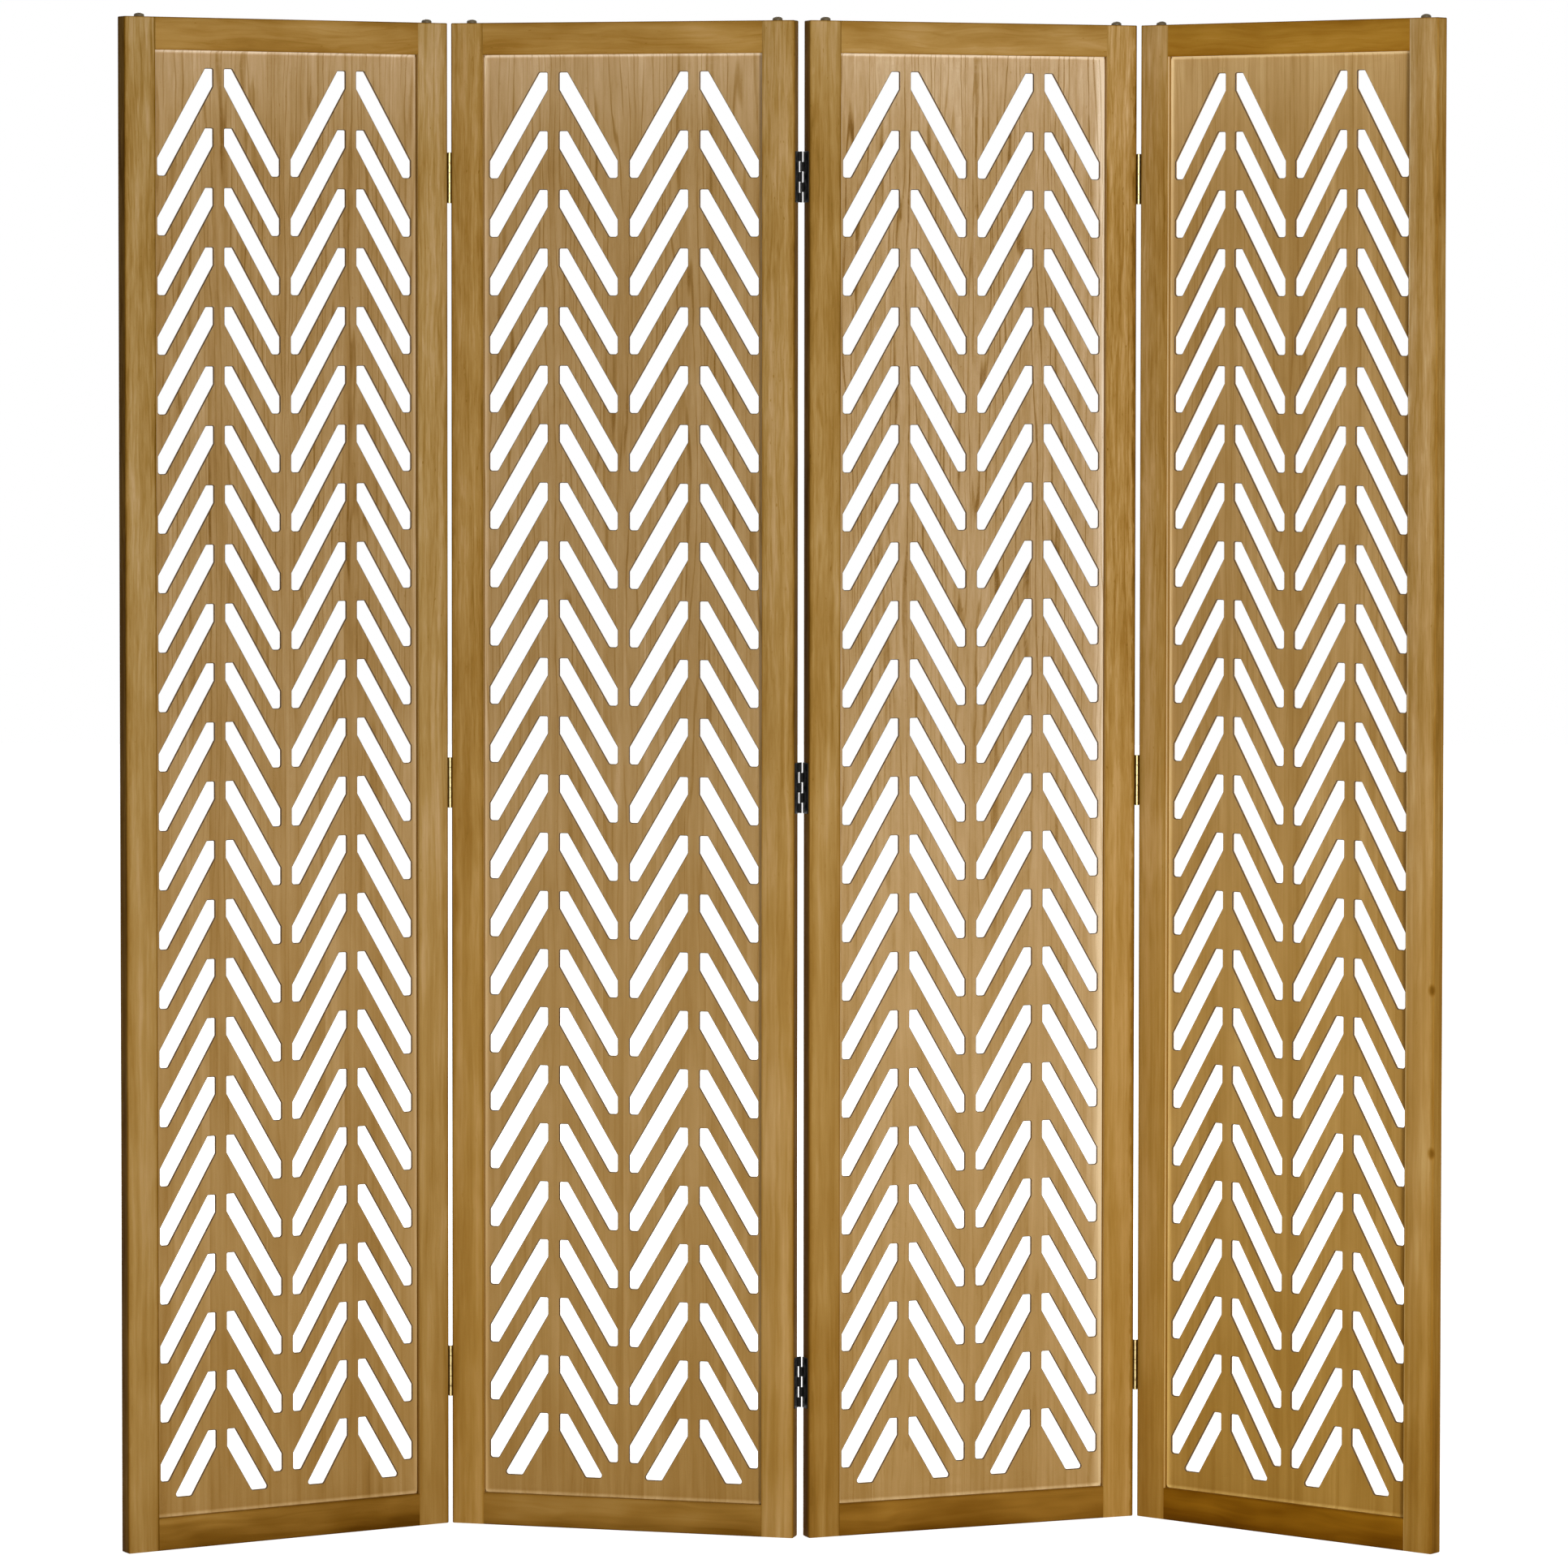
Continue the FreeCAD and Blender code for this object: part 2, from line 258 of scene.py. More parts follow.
# What moves the grain sideways: small waves, with how far they reach, and large ones
SMALL_WAVE_REACH = 1.6 * MM
SMALL_WAVES = (40 * MM, 55 * MM, 2)
LARGE_WAVES = (50 * MM, 240 * MM, 2)
# Growth lines: their mean distance, how many distances a noise moves them, and how they fade
LINE_SPACING = 9 * MM
LINE_DRIFT = 7
LINE_DRIFT_NOISE = (34 * MM, 700 * MM, 2)
LINE_FADE = (0.72, 0.96, 0, 1)
LINE_STRENGTH_NOISE = (8 * MM, 110 * MM, 2)
LINE_STRENGTH_FADE = (0.34, 0.62, 0.3, 1)
# Knots sit in pairs on the corner between a stile's front and its outer edge face
KNOT_PLACE = 197 * MM
KNOT_SPACING = 181 * MM
KNOT_BREADTH = 6 * MM
KNOT_LENGTH = 9 * MM
KNOT_FADE = (0.2, 1, 1, 0)
KNOT_TONE = -0.34
# The mottle's ragged border: the noise that moves it, how far, and how the mottle fades in there
MOTTLE_NOISE = (14 * MM, 22 * MM, 3)
MOTTLE_SWING = 14 * MM
MOTTLE_BORDER_FADE = (1 * MM, 3.5 * MM, 0, 1)
# How far apart pieces and glued strips lie in the noise, and how much strips differ in tone
SEED_STEP = 3.7
STRIP_STEP = 9
STRIP_TONE = 0.08

# How far the figure of each wood swings, and how strong each part of its grain is
STILE_GRAIN = {"figure": 3 * MM, "bands": 0.5, "clouds": 0.34, "fibres": 0.42, "lines": 0.1,
               "pores": 0.06, "flecks": 0.16}
RAIL_GRAIN = {"figure": 22 * MM, "bands": 0.26, "clouds": 0.6, "fibres": 0.16, "lines": 0.04,
              "pores": 0.03, "flecks": 0.1}
BOARD_GRAIN = {"figure": 1 * MM, "bands": 0.34, "clouds": 0.26, "fibres": 0.3, "lines": 0.3,
               "pores": 0.06, "flecks": 0.14}

# The lacquer on the wood: its roughness over the fibres, its gloss, and the relief that shows through it
WOOD_ROUGHNESS = (0.3, 0.7, 0.66, 0.5)
WOOD_GLOSS = 0.02
PORE_RELIEF = -0.6
WOOD_BUMP = {"Strength": 0.3, "Distance": 0.2 * MM}

# Metal, plastic and cut wood: how handling marks change the shade, and where on a ramp each shade lies,
# of which the marks reach the first half and the painted highlight the rest
DARK_MARK_SHARE = 2.2
LIGHT_MARK_SHARE = 1.4
MARK_PLACES = (0.17, 0.25, 0.35)
HIGHLIGHT_PLACE = 0.75
MARK_DETAIL = 5
MARK_LEVELS = (0.3, 0.7)
ROUGHNESS_SHARES = (0.8, 1.2)
FINE_MARKS = 4
FINE_MARK_DETAIL = 3
PLAIN_BUMP = {"Strength": 0.15, "Distance": 0.1 * MM}


def centre(node):
    """The middle of a node's box."""
    low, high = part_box(node)
    return (low + high) / 2


def panel_space(number):
    """The matrix that takes a panel's own space to the frame's."""
    across = centre(f"panel_{number}_right_cap") - centre(f"panel_{number}_left_cap")
    across = Vector((across.x, across.y, 0)).normalized()
    through = Vector((-across.y, across.x, 0))
    middle = centre(f"panel_{number}_top_rail")
    space = Matrix.Identity(4)
    for column, axis in enumerate((across, through, Vector((0, 0, 1)))):
        space.col[column].xyz = axis
    space.col[3].xyz = (middle.x, middle.y, 0)
    return space


def rounded(corners, radii, steps):
    """An outline with each corner turned into an arc of its own radius, all with as many points."""
    points = []
    for index, (corner, radius) in enumerate(zip(corners, radii)):
        corner = Vector(corner)
        before = (Vector(corners[index - 1]) - corner).normalized()
        after = (Vector(corners[(index + 1) % len(corners)]) - corner).normalized()
        half = before.angle(after) / 2
        middle = corner + (before + after).normalized() * (radius / math.sin(half))
        start, end = corner + before * (radius / math.tan(half)), corner + after * (radius / math.tan(half))
        for step in range(steps + 1):
            point = start.lerp(end, step / steps) - middle
            points.append(middle + point.normalized() * radius)
    return points


def grown(corners, distance):
    """An outline whose sides lie further out by a distance. Its corners run counter-clockwise."""
    moved = []
    for index, corner in enumerate(corners):
        corner = Vector(corner)
        before = (corner - Vector(corners[index - 1])).normalized()
        after = (Vector(corners[(index + 1) % len(corners)]) - corner).normalized()
        out_before, out_after = Vector((before.y, -before.x)), Vector((after.y, -after.x))
        mitre = (out_before + out_after).normalized()
        moved.append(corner + mitre * (distance / mitre.dot(out_before)))
    return moved


def add_box(mesh, low, high):
    """Adds a box to a mesh."""
    size = Vector(high) - Vector(low)
    middle = (Vector(high) + Vector(low)) / 2
    bmesh.ops.create_cube(mesh, size=1, matrix=Matrix.Translation(middle) @ Matrix.Diagonal((*size, 1)))


def bevel(mesh, edges, radius, steps):
    """Rounds some edges of a mesh."""
    bmesh.ops.bevel(mesh, geom=edges, offset=radius, offset_type="OFFSET", segments=steps,
                    profile=0.5, affect="EDGES", clamp_overlap=True)


def sharp_edges(mesh):
    """The edges whose faces meet at an angle that is bevelled."""
    return [edge for edge in mesh.edges
            if len(edge.link_faces) == 2 and edge.calc_face_angle() > BEVELLED_ANGLE]


def lathe(mesh, profile, turns, matrix):
    """Revolves a profile of (radius, height) points about Z. A radius of 0 closes the end in a point."""
    rings = []
    for radius, height in profile:
        if radius:
            angles = [2 * math.pi * turn / turns for turn in range(turns)]
            places = [(radius * math.cos(angle), radius * math.sin(angle), height) for angle in angles]
        else:
            places = [(0, 0, height)]
        rings.append([mesh.verts.new(matrix @ Vector(place)) for place in places])
    for lower, upper in zip(rings, rings[1:]):
        for turn in range(turns):
            following = (turn + 1) % turns
            corners = [lower[turn % len(lower)], lower[following % len(lower)],
                       upper[following % len(upper)], upper[turn % len(upper)]]
            mesh.faces.new(list(dict.fromkeys(corners)))


def extrude_outline(mesh, outline, low, high):
    """Adds a solid with a counter-clockwise (x, y) outline between two heights."""
    bottom = [mesh.verts.new((*point, low)) for point in outline]
    top = [mesh.verts.new((*point, high)) for point in outline]
    for index in range(len(outline)):
        following = (index + 1) % len(outline)
        mesh.faces.new((bottom[index], bottom[following], top[following], top[index]))
    mesh.faces.new(bottom[::-1])
    mesh.faces.new(top)


def mesh_data(name, mesh):
    """A mesh as data, once it is made."""
    data = bpy.data.meshes.new(name)
    mesh.to_mesh(data)
    mesh.free()
    return data


def placed(name, data):
    """A new object in the scene."""
    item = bpy.data.objects.new(name, data)
    bpy.context.scene.collection.objects.link(item)
    return item


def finished(name, mesh, space, body, slot, materials, sharp_angle=SHARP_ANGLE, **values):
    """Turns a mesh into an object that rides on a body and carries values that its material reads."""
    bmesh.ops.recalc_face_normals(mesh, faces=mesh.faces)
    data = mesh_data(name, mesh)
    for material in materials:
        data.materials.append(material)
    data.shade_smooth()
    data.set_sharp_from_angle(angle=sharp_angle)
    for label, value in values.items():
        layer = data.attributes.new(label, "FLOAT", "POINT")
        layer.data.foreach_set("value", [value] * len(data.vertices))
    piece = placed(name, data)
    piece.matrix_world = space
    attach(piece, body)
    return piece


def cut_with_box(piece, low, high):
    """Cuts a box out of a piece, in the piece's own space."""
    mesh = bmesh.new()
    add_box(mesh, low, high)
    cutter = placed("cutter", mesh_data("cutter", mesh))
    cutter.matrix_world = piece.matrix_world
    modifier = piece.modifiers.new("groove", "BOOLEAN")
    modifier.operation = "DIFFERENCE"
    modifier.object = cutter
    modifier.solver = "EXACT"
    bpy.context.view_layer.update()
    result = bpy.data.meshes.new_from_object(piece.evaluated_get(bpy.context.evaluated_depsgraph_get()))
    piece.modifiers.clear()
    piece.data = result
    bpy.data.objects.remove(cutter)


def node_adder(tree):
    """A function that adds a node to a tree, with its settings, its links and its values."""

    def add(kind, inputs=(), **settings):
        node = tree.nodes.new(kind)
        for key, value in settings.items():
            setattr(node, key, value)
        for key, value in dict(inputs).items():
            if isinstance(value, bpy.types.NodeSocket):
                tree.links.new(value, node.inputs[key])
            else:
                node.inputs[key].default_value = value
        return node

    return add


def node_tree(name):
    """A new material with its tree, its shader, and a function that adds a node."""
    material = bpy.data.materials.new(name)
    material.use_nodes = True
    tree = material.node_tree
    return material, tree, tree.nodes["Principled BSDF"], node_adder(tree)


def colour(red, green, blue):
    """A colour given as it looks on a screen, from 0 to 255, for a shader's socket."""
    shares = [channel / 255 for channel in (red, green, blue)]
    return (*[share / 12.92 if share <= 0.04045 else ((share + 0.055) / 1.055) ** 2.4 for share in shares], 1)


def ramp(add, value, stops):
    """A colour ramp with (place, colour) stops."""
    node = add("ShaderNodeValToRGB", {"Fac": value})
    elements = node.color_ramp.elements
    while len(elements) < len(stops):
        elements.new(0.5)
    for element, (place, shade) in zip(elements, stops):
        element.position = place
        element.color = shade
    return node.outputs["Color"]


def maths(add, operation, *values):
    """A number worked out from others."""
    return add("ShaderNodeMath", enumerate(values), operation=operation).outputs[0]


def product(add, first, second):
    """One number times another."""
    return maths(add, "MULTIPLY", first, second)


def total(add, first, others):
    """A number with others added to it."""
    for other in others:
        first = maths(add, "ADD", first, other)
    return first


def vector_maths(add, operation, *values):
    """A place worked out from others."""
    return add("ShaderNodeVectorMath", enumerate(values), operation=operation).outputs["Vector"]


def from_zero(add, place):
    """How far a place is from zero."""
    return add("ShaderNodeVectorMath", {0: place}, operation="LENGTH").outputs["Value"]


def joined(add, x, y, z):
    """The place that has three numbers."""
    return add("ShaderNodeCombineXYZ", {"X": x, "Y": y, "Z": z}).outputs["Vector"]


def split(add, place):
    """The three numbers of a place."""
    return add("ShaderNodeSeparateXYZ", {"Vector": place}).outputs


def own_place(add):
    """The place of a point in its object's own space."""
    return add("ShaderNodeTexCoord").outputs["Object"]


def attribute(add, name):
    """A number that a mesh carries, or 0 where it doesn't."""
    return add("ShaderNodeAttribute", attribute_name=name).outputs["Fac"]


def faded(add, value, low, high, from_value, to_value):
    """A number that runs smoothly from one value to another as the given one goes from low to high."""
    limits = {"Value": value, "From Min": low, "From Max": high, "To Min": from_value, "To Max": to_value}
    return add("ShaderNodeMapRange", limits, interpolation_type="SMOOTHSTEP").outputs["Result"]


def centred(add, value, strength):
    """A number from 0 to 1, spread evenly about zero."""
    return maths(add, "MULTIPLY_ADD", value, strength, -strength / 2)


def drawn_out(add, place, breadth, length, detail, distortion=0):
    """The outputs of a soft noise drawn out along Z."""
    stretched = vector_maths(add, "MULTIPLY", place, (1 / breadth, 1 / breadth, 1 / length))
    return add("ShaderNodeTexNoise", {"Vector": stretched, "Scale": 1, "Detail": detail,
                                      "Roughness": NOISE_ROUGHNESS, "Distortion": distortion}).outputs


def streaks(add, place, *noise):
    """Soft noise drawn out along Z, as a number."""
    return drawn_out(add, place, *noise)["Fac"]


def wandering(add, place, reach, waves):
    """A place moved sideways by a slow noise, so that what is drawn along Z from it isn't straight."""
    sway = vector_maths(add, "SUBTRACT", drawn_out(add, place, *waves)["Color"], (0.5, 0.5, 0.5))
    return vector_maths(add, "ADD", place, vector_maths(add, "MULTIPLY", sway, (2 * reach, 2 * reach, 0)))


def growth_lines(add, place):
    """1 on thin lines of late wood, which run along Z at uneven distances and fade in places, 0 elsewhere."""
    drift = product(add, streaks(add, place, *LINE_DRIFT_NOISE), LINE_DRIFT)
    count = maths(add, "DIVIDE", split(add, place)["X"], LINE_SPACING)
    phase = maths(add, "FRACT", maths(add, "ADD", count, drift))
    peak = maths(add, "ABSOLUTE", maths(add, "MULTIPLY_ADD", phase, 2, -1))
    strength = faded(add, streaks(add, place, *LINE_STRENGTH_NOISE), *LINE_STRENGTH_FADE)
    return product(add, faded(add, peak, *LINE_FADE), strength)


def knots(add, width, depth, height):
    """1 in the middle of two small knots on a stile's outer corner, 0 outside them. The stile says how high
    the lower one lies."""
    across = maths(add, "DIVIDE", maths(add, "SUBTRACT", width, KNOT_PLACE), KNOT_BREADTH)
    through = maths(add, "DIVIDE", maths(add, "SUBTRACT", depth, FRONT), KNOT_BREADTH)
    above_lower = maths(add, "SUBTRACT", height, attribute(add, "knot"))
    inside = []
    for rise in (0, KNOT_SPACING):
        above = maths(add, "DIVIDE", maths(add, "SUBTRACT", above_lower, rise), KNOT_LENGTH)
        away = from_zero(add, joined(add, across, through, above))
        inside.append(faded(add, away, *KNOT_FADE))
    return total(add, 0, inside)


def mottle(add, width, depth, height, from_outer):
    """1 on a ragged strip along a stile's outer edge, 0 beside it."""
    noise = streaks(add, joined(add, width, depth, height), *MOTTLE_NOISE)
    ragged = maths(add, "SUBTRACT", product(add, noise, MOTTLE_SWING), from_outer)
    return product(add, faded(add, ragged, *MOTTLE_BORDER_FADE), faded(add, from_outer, *MOTTLE_FADE))


def stile_terms(add, width, depth, height):
    """What lightens and darkens a stile: mottle and knots, its slant, painted shade on its edges and in its
    crease, painted light on its inner side, and its top.
    """
    from_middle = maths(add, "ABSOLUTE", width)
    from_outer = maths(add, "SUBTRACT", PANEL_WIDTH / 2, from_middle)
    from_inner = maths(add, "SUBTRACT", from_middle, HALF_OPENING)
    from_front = maths(add, "SUBTRACT", depth, FRONT)
    from_top = maths(add, "SUBTRACT", PANEL_HEIGHT, height)
    share = maths(add, "DIVIDE", height, PANEL_HEIGHT)
    # Masks for the painted light on the inner side and the painted shade in the crease
    side, painted_crease = [product(add, faded(add, from_inner, *across), faded(add, from_front, *through))
                    for across, through in (STILE_SIDE_LIGHT_FADES, STILE_PAINTED_CREASE_FADES)]
    return [product(add, mottle(add, width, depth, height, from_outer), attribute(add, "mottle")),
            product(add, knots(add, width, depth, height), KNOT_TONE),
            product(add, faded(add, share, *STILE_SLANT_SHARES), attribute(add, "slant")),
            # Painted shade on the outer edge face
            product(add, faded(add, from_outer, *STILE_EDGE_SHADE_FADE), attribute(add, "edge")),
            # Painted light on the inner side
            product(add, side, attribute(add, "side")),
            # Painted shade in the crease beside the board, and painted light there on panel 4's right stile
            product(add, painted_crease, attribute(add, "painted_crease")),
            # Painted shade along the inner and outer edges and on the rounding
            faded(add, from_inner, *STILE_INNER_SHADE),
            faded(add, from_outer, *STILE_OUTER_SHADE),
            faded(add, from_outer, *STILE_ROUNDING_SHADE),
            faded(add, from_top, *STILE_TOP_TONE)]


def rail_terms(add, width, depth, height):
    """What lightens and darkens a rail: painted light on its inner side, its slant, and painted shade along
    its edges and near the floor.
    """
    from_outer = maths(add, "MINIMUM", maths(add, "SUBTRACT", PANEL_HEIGHT, height), height)
    from_inner = maths(add, "SUBTRACT", RAIL_HEIGHT, from_outer)
    from_front = maths(add, "SUBTRACT", depth, FRONT)
    across, through = RAIL_SIDE_LIGHT_FADES
    slanting = faded(add, width, -HALF_OPENING, HALF_OPENING, -1, 1)
    # Painted light on the inner side
    return [product(add, faded(add, from_inner, *across), faded(add, from_front, *through)),
            product(add, slanting, attribute(add, "slant")),
            faded(add, from_outer, *RAIL_ARRIS_TONE),
            # Painted shade along the outer edge, near the floor and along the inner edge
            faded(add, from_outer, *RAIL_OUTER_SHADE),
            faded(add, height, *RAIL_FLOOR_SHADE),
            faded(add, from_inner, *RAIL_INNER_SHADE)]


def board_terms(add, width, depth, height):
    """What lightens and darkens a board: painted light along its frame, which differs by side and is painted
    shadow on panel 4's right, a lighter rim, painted shade in the corner, lighter tone near its top and a
    painted highlight at its foot."""
    from_left = maths(add, "ADD", width, HALF_OPENING)
    from_right = maths(add, "SUBTRACT", HALF_OPENING, width)
    from_top = maths(add, "SUBTRACT", PANEL_HEIGHT - RAIL_HEIGHT, height)
    from_bottom = maths(add, "SUBTRACT", height, RAIL_HEIGHT)
    from_frame = maths(add, "MINIMUM", maths(add, "MINIMUM", from_left, from_right),
                       maths(add, "MINIMUM", from_top, from_bottom))
    # Painted light beside the frame, and on panel 4's right painted shadow
    return [product(add, faded(add, from_left, *LEFT_BORDER_LIGHT_FADE), attribute(add, "left_border")),
            product(add, faded(add, from_right, *RIGHT_BORDER_LIGHT_FADE), attribute(add, "right_border")),
            product(add, faded(add, from_right, *RIGHT_PAINTED_GLOW_FADE), attribute(add, "right_border")),
            faded(add, from_frame, *BOARD_RIM_TONE),
            # Painted shade in the corner against the frame
            faded(add, from_frame, *BOARD_CORNER_SHADE),
            faded(add, from_top, *BOARD_TOP_TONE),
            faded(add, from_top, *BOARD_TOP_GLOW_TONE),
            # Painted highlight along the board's foot
            faded(add, from_bottom, *BOARD_BOTTOM_HIGHLIGHT)]


def tinted(add, shade, warmth):
    """A colour that lacks as much blue as the warmth says, and a share of that in green."""
    green = maths(add, "MULTIPLY_ADD", warmth, -WARM_GREEN_SHARE, 1)
    return vector_maths(add, "MULTIPLY", shade, joined(add, 1, green, maths(add, "SUBTRACT", 1, warmth)))


def figure(add, place, grain):
    """The coarse and the fine terms of a wood's figure along Z, with its fibres and its pores."""
    swayed = wandering(add, place, SMALL_WAVE_REACH, SMALL_WAVES)
    swayed = wandering(add, swayed, grain["figure"], LARGE_WAVES)
    fibres, pores = streaks(add, swayed, *FIBRES), streaks(add, swayed, *PORES)
    coarse = [centred(add, streaks(add, swayed, *BANDS), grain["bands"]),
              centred(add, streaks(add, place, *CLOUDS), grain["clouds"])]
    fine = [centred(add, fibres, grain["fibres"]),
            product(add, growth_lines(add, swayed), -grain["lines"]),
            faded(add, pores, *PORE_LEVELS, 0, -grain["pores"]),
            faded(add, streaks(add, place, *FLECKS), *FLECK_LEVELS, 0, -grain["flecks"])]
    return coarse, fine, fibres, pores


def wood(name, grain_axis, shades, own_terms, grain, strip_width=None):
    """Lacquered wood with its grain along Z or X. A strip width glues it up from strips."""
    material, tree, shader, add = node_tree(name)
    seed = attribute(add, "seed")
    width, depth, height = split(add, own_place(add))
    share = maths(add, "DIVIDE", height, PANEL_HEIGHT)
    across, along = (width, height) if grain_axis == "Z" else (height, width)
    shift = product(add, seed, SEED_STEP)
    terms = own_terms(add, width, depth, height)
    if strip_width:
        index = maths(add, "FLOOR", maths(add, "DIVIDE", across, strip_width))
        noise = add("ShaderNodeTexWhiteNoise", {"Vector": joined(add, index, seed, 0)}, noise_dimensions="3D")
        shift = maths(add, "MULTIPLY_ADD", noise.outputs["Value"], STRIP_STEP, shift)
        terms.append(centred(add, noise.outputs["Value"], STRIP_TONE))
    moved = vector_maths(add, "ADD", joined(add, across, depth, along), joined(add, shift, shift, shift))
    coarse, fine, fibres, pores = figure(add, moved, grain)
    strength = product(add, attribute(add, "grain"), faded(add, share, *FINE_GRAIN_SHARES))
    terms += [product(add, term, strength) for term in fine] + coarse
    # Painted light and shade by height
    terms += [faded(add, share, *fade) for fade in PAINTED_HEIGHT_LIGHT_SHARES]
    tone = total(add, attribute(add, "tone"), terms)
    # Painted warmth by height, warmer lower down
    warmth = total(add, attribute(add, "warmth"), [faded(add, share, *fade) for fade in PAINTED_HEIGHT_WARMTH_SHARES])
    stops = [(stop, colour(*shade)) for stop, shade in shades]
    tree.links.new(tinted(add, ramp(add, tone, stops), warmth), shader.inputs["Base Color"])
    tree.links.new(faded(add, fibres, *WOOD_ROUGHNESS), shader.inputs["Roughness"])
    relief = maths(add, "ADD", fibres, product(add, pores, PORE_RELIEF))
    bump = add("ShaderNodeBump", {"Height": relief, **WOOD_BUMP})
    tree.links.new(bump.outputs["Normal"], shader.inputs["Normal"])
    shader.inputs["Specular IOR Level"].default_value = WOOD_GLOSS
    return material


def marked(shade, change):
    """A colour made darker or lighter by a share of itself."""
    return (*[min(1, channel * (1 + change)) for channel in shade[:3]], 1)


def plain(name, shade, metallic, roughness, marks=0.12, mark_size=3 * MM, gloss=0.5, painted_highlight_shade=None):
    """A painted, moulded or bare surface with faint handling marks. It can carry a paler painted highlight.
    """
    material, tree, shader, add = node_tree(name)
    place = own_place(add)
    noise = add("ShaderNodeTexNoise", {"Vector": place, "Scale": 1 / mark_size, "Detail": MARK_DETAIL})
    noise = noise.outputs["Fac"]
    shade = colour(*shade)
    light = marked(shade, LIGHT_MARK_SHARE * marks)
    stops = [*zip(MARK_PLACES, (marked(shade, -DARK_MARK_SHARE * marks), shade, light)),
             (HIGHLIGHT_PLACE, colour(*painted_highlight_shade) if painted_highlight_shade else light)]
    # The painted highlight lifts the ramp towards its paler shade
    stop = product(add, maths(add, "ADD", noise, attribute(add, "painted_highlight")), 0.5)
    tree.links.new(ramp(add, stop, stops), shader.inputs["Base Color"])
    rough = faded(add, noise, *MARK_LEVELS, *[roughness * share for share in ROUGHNESS_SHARES])
    tree.links.new(rough, shader.inputs["Roughness"])
    fine = add("ShaderNodeTexNoise", {"Vector": place, "Scale": FINE_MARKS / mark_size,
                                      "Detail": FINE_MARK_DETAIL})
    bump = add("ShaderNodeBump", {"Height": fine.outputs["Fac"], **PLAIN_BUMP})
    tree.links.new(bump.outputs["Normal"], shader.inputs["Normal"])
    shader.inputs["Metallic"].default_value = metallic
    shader.inputs["Specular IOR Level"].default_value = gloss
    return material


STILE_WOOD = wood("stile_wood", "Z", FRAME_SHADES, stile_terms, STILE_GRAIN)
RAIL_WOOD = wood("rail_wood", "X", FRAME_SHADES, rail_terms, RAIL_GRAIN)
BOARD_WOOD = wood("board_wood", "Z", BOARD_SHADES, board_terms, BOARD_GRAIN, strip_width=STRIP_WIDTH)
CUT_WOOD = plain("cut_wood", (160, 122, 66), 0, 0.8, marks=0.1, mark_size=6 * MM)
# The slots' dark rims are painted shade
SLOT_SHADE_WOOD = plain("slot_shade_wood", (58, 40, 20), 0, 0.8, marks=0.2, mark_size=6 * MM)
# Brass barrels carry a paler painted highlight along their front
HINGE_METALS = {"brass": plain("brass", (112, 94, 56), 1, 0.36, painted_highlight_shade=(200, 178, 126)),
                "black": plain("black_metal", (9, 9, 8), 0, 0.45, gloss=0.15)}
CAP_PLASTIC = plain("cap_plastic", (84, 70, 42), 0, 0.5)


def stile_look(number, side):
    """The values that a stile's material reads."""
    key = (number, side)
    return {"seed": number + SEEDS[side], "tone": PANEL_TONES[number] + STILE_TONES[key],
            "warmth": STILE_WARMTHS[key], "grain": STILE_GRAINS.get(key, 1),
            "edge": EDGE_SHADE_TONES.get(key, EDGE_SHADE_TONE), "side": SIDE_LIGHT_TONES.get(key, SIDE_LIGHT_TONE),
            "painted_crease": PAINTED_CREASE_TONES.get(key, PAINTED_CREASE_TONE), "knot": KNOT_HEIGHTS.get(key, NO_KNOT),
            "mottle": MOTTLE_TONES.get(key, MOTTLE_TONE), "slant": STILE_SLANTS.get(key, 0)}


def stile(number, side, space):
    """An upright: its outer edges are rounded, its inner edge is grooved for the board."""
    outward = -1 if side == "left" else 1
    outer = outward * PANEL_WIDTH / 2
    inner = outer - outward * STILE_WIDTH
    mesh = bmesh.new()
    add_box(mesh, (min(outer, inner), FRONT, 0), (max(outer, inner), -FRONT, PANEL_HEIGHT))
    outer_edges = [edge for edge in mesh.edges
                   if all(abs(vertex.co.x - outer) < ARRIS for vertex in edge.verts)]
    bevel(mesh, outer_edges, EDGE_RADIUS, EDGE_STEPS)
    bevel(mesh, sharp_edges(mesh), ARRIS, ARRIS_STEPS)
    name = f"panel_{number}_{side}_stile"
    piece = finished(f"{name}_wood", mesh, space, f"panel_{number}", "frame_wood", [STILE_WOOD],
                     **stile_look(number, side))
    groove = sorted((inner - outward * ARRIS, inner + outward * GROOVE_DEPTH))
    cut_with_box(piece, (groove[0], -GROOVE_WIDTH / 2, -ARRIS),
                 (groove[1], GROOVE_WIDTH / 2, PANEL_HEIGHT + ARRIS))
    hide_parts(name)


def rail_look(number, level, seed):
    """The values that the material of a rail or its tenons reads."""
    return {"seed": number + SEEDS[seed], "tone": PANEL_TONES[number] + RAIL_TONES[level][number],
            "warmth": RAIL_WARMTHS[level][number], "grain": 1,
            "slant": RAIL_SLANTS.get(number, 0) if level == "bottom" else 0}


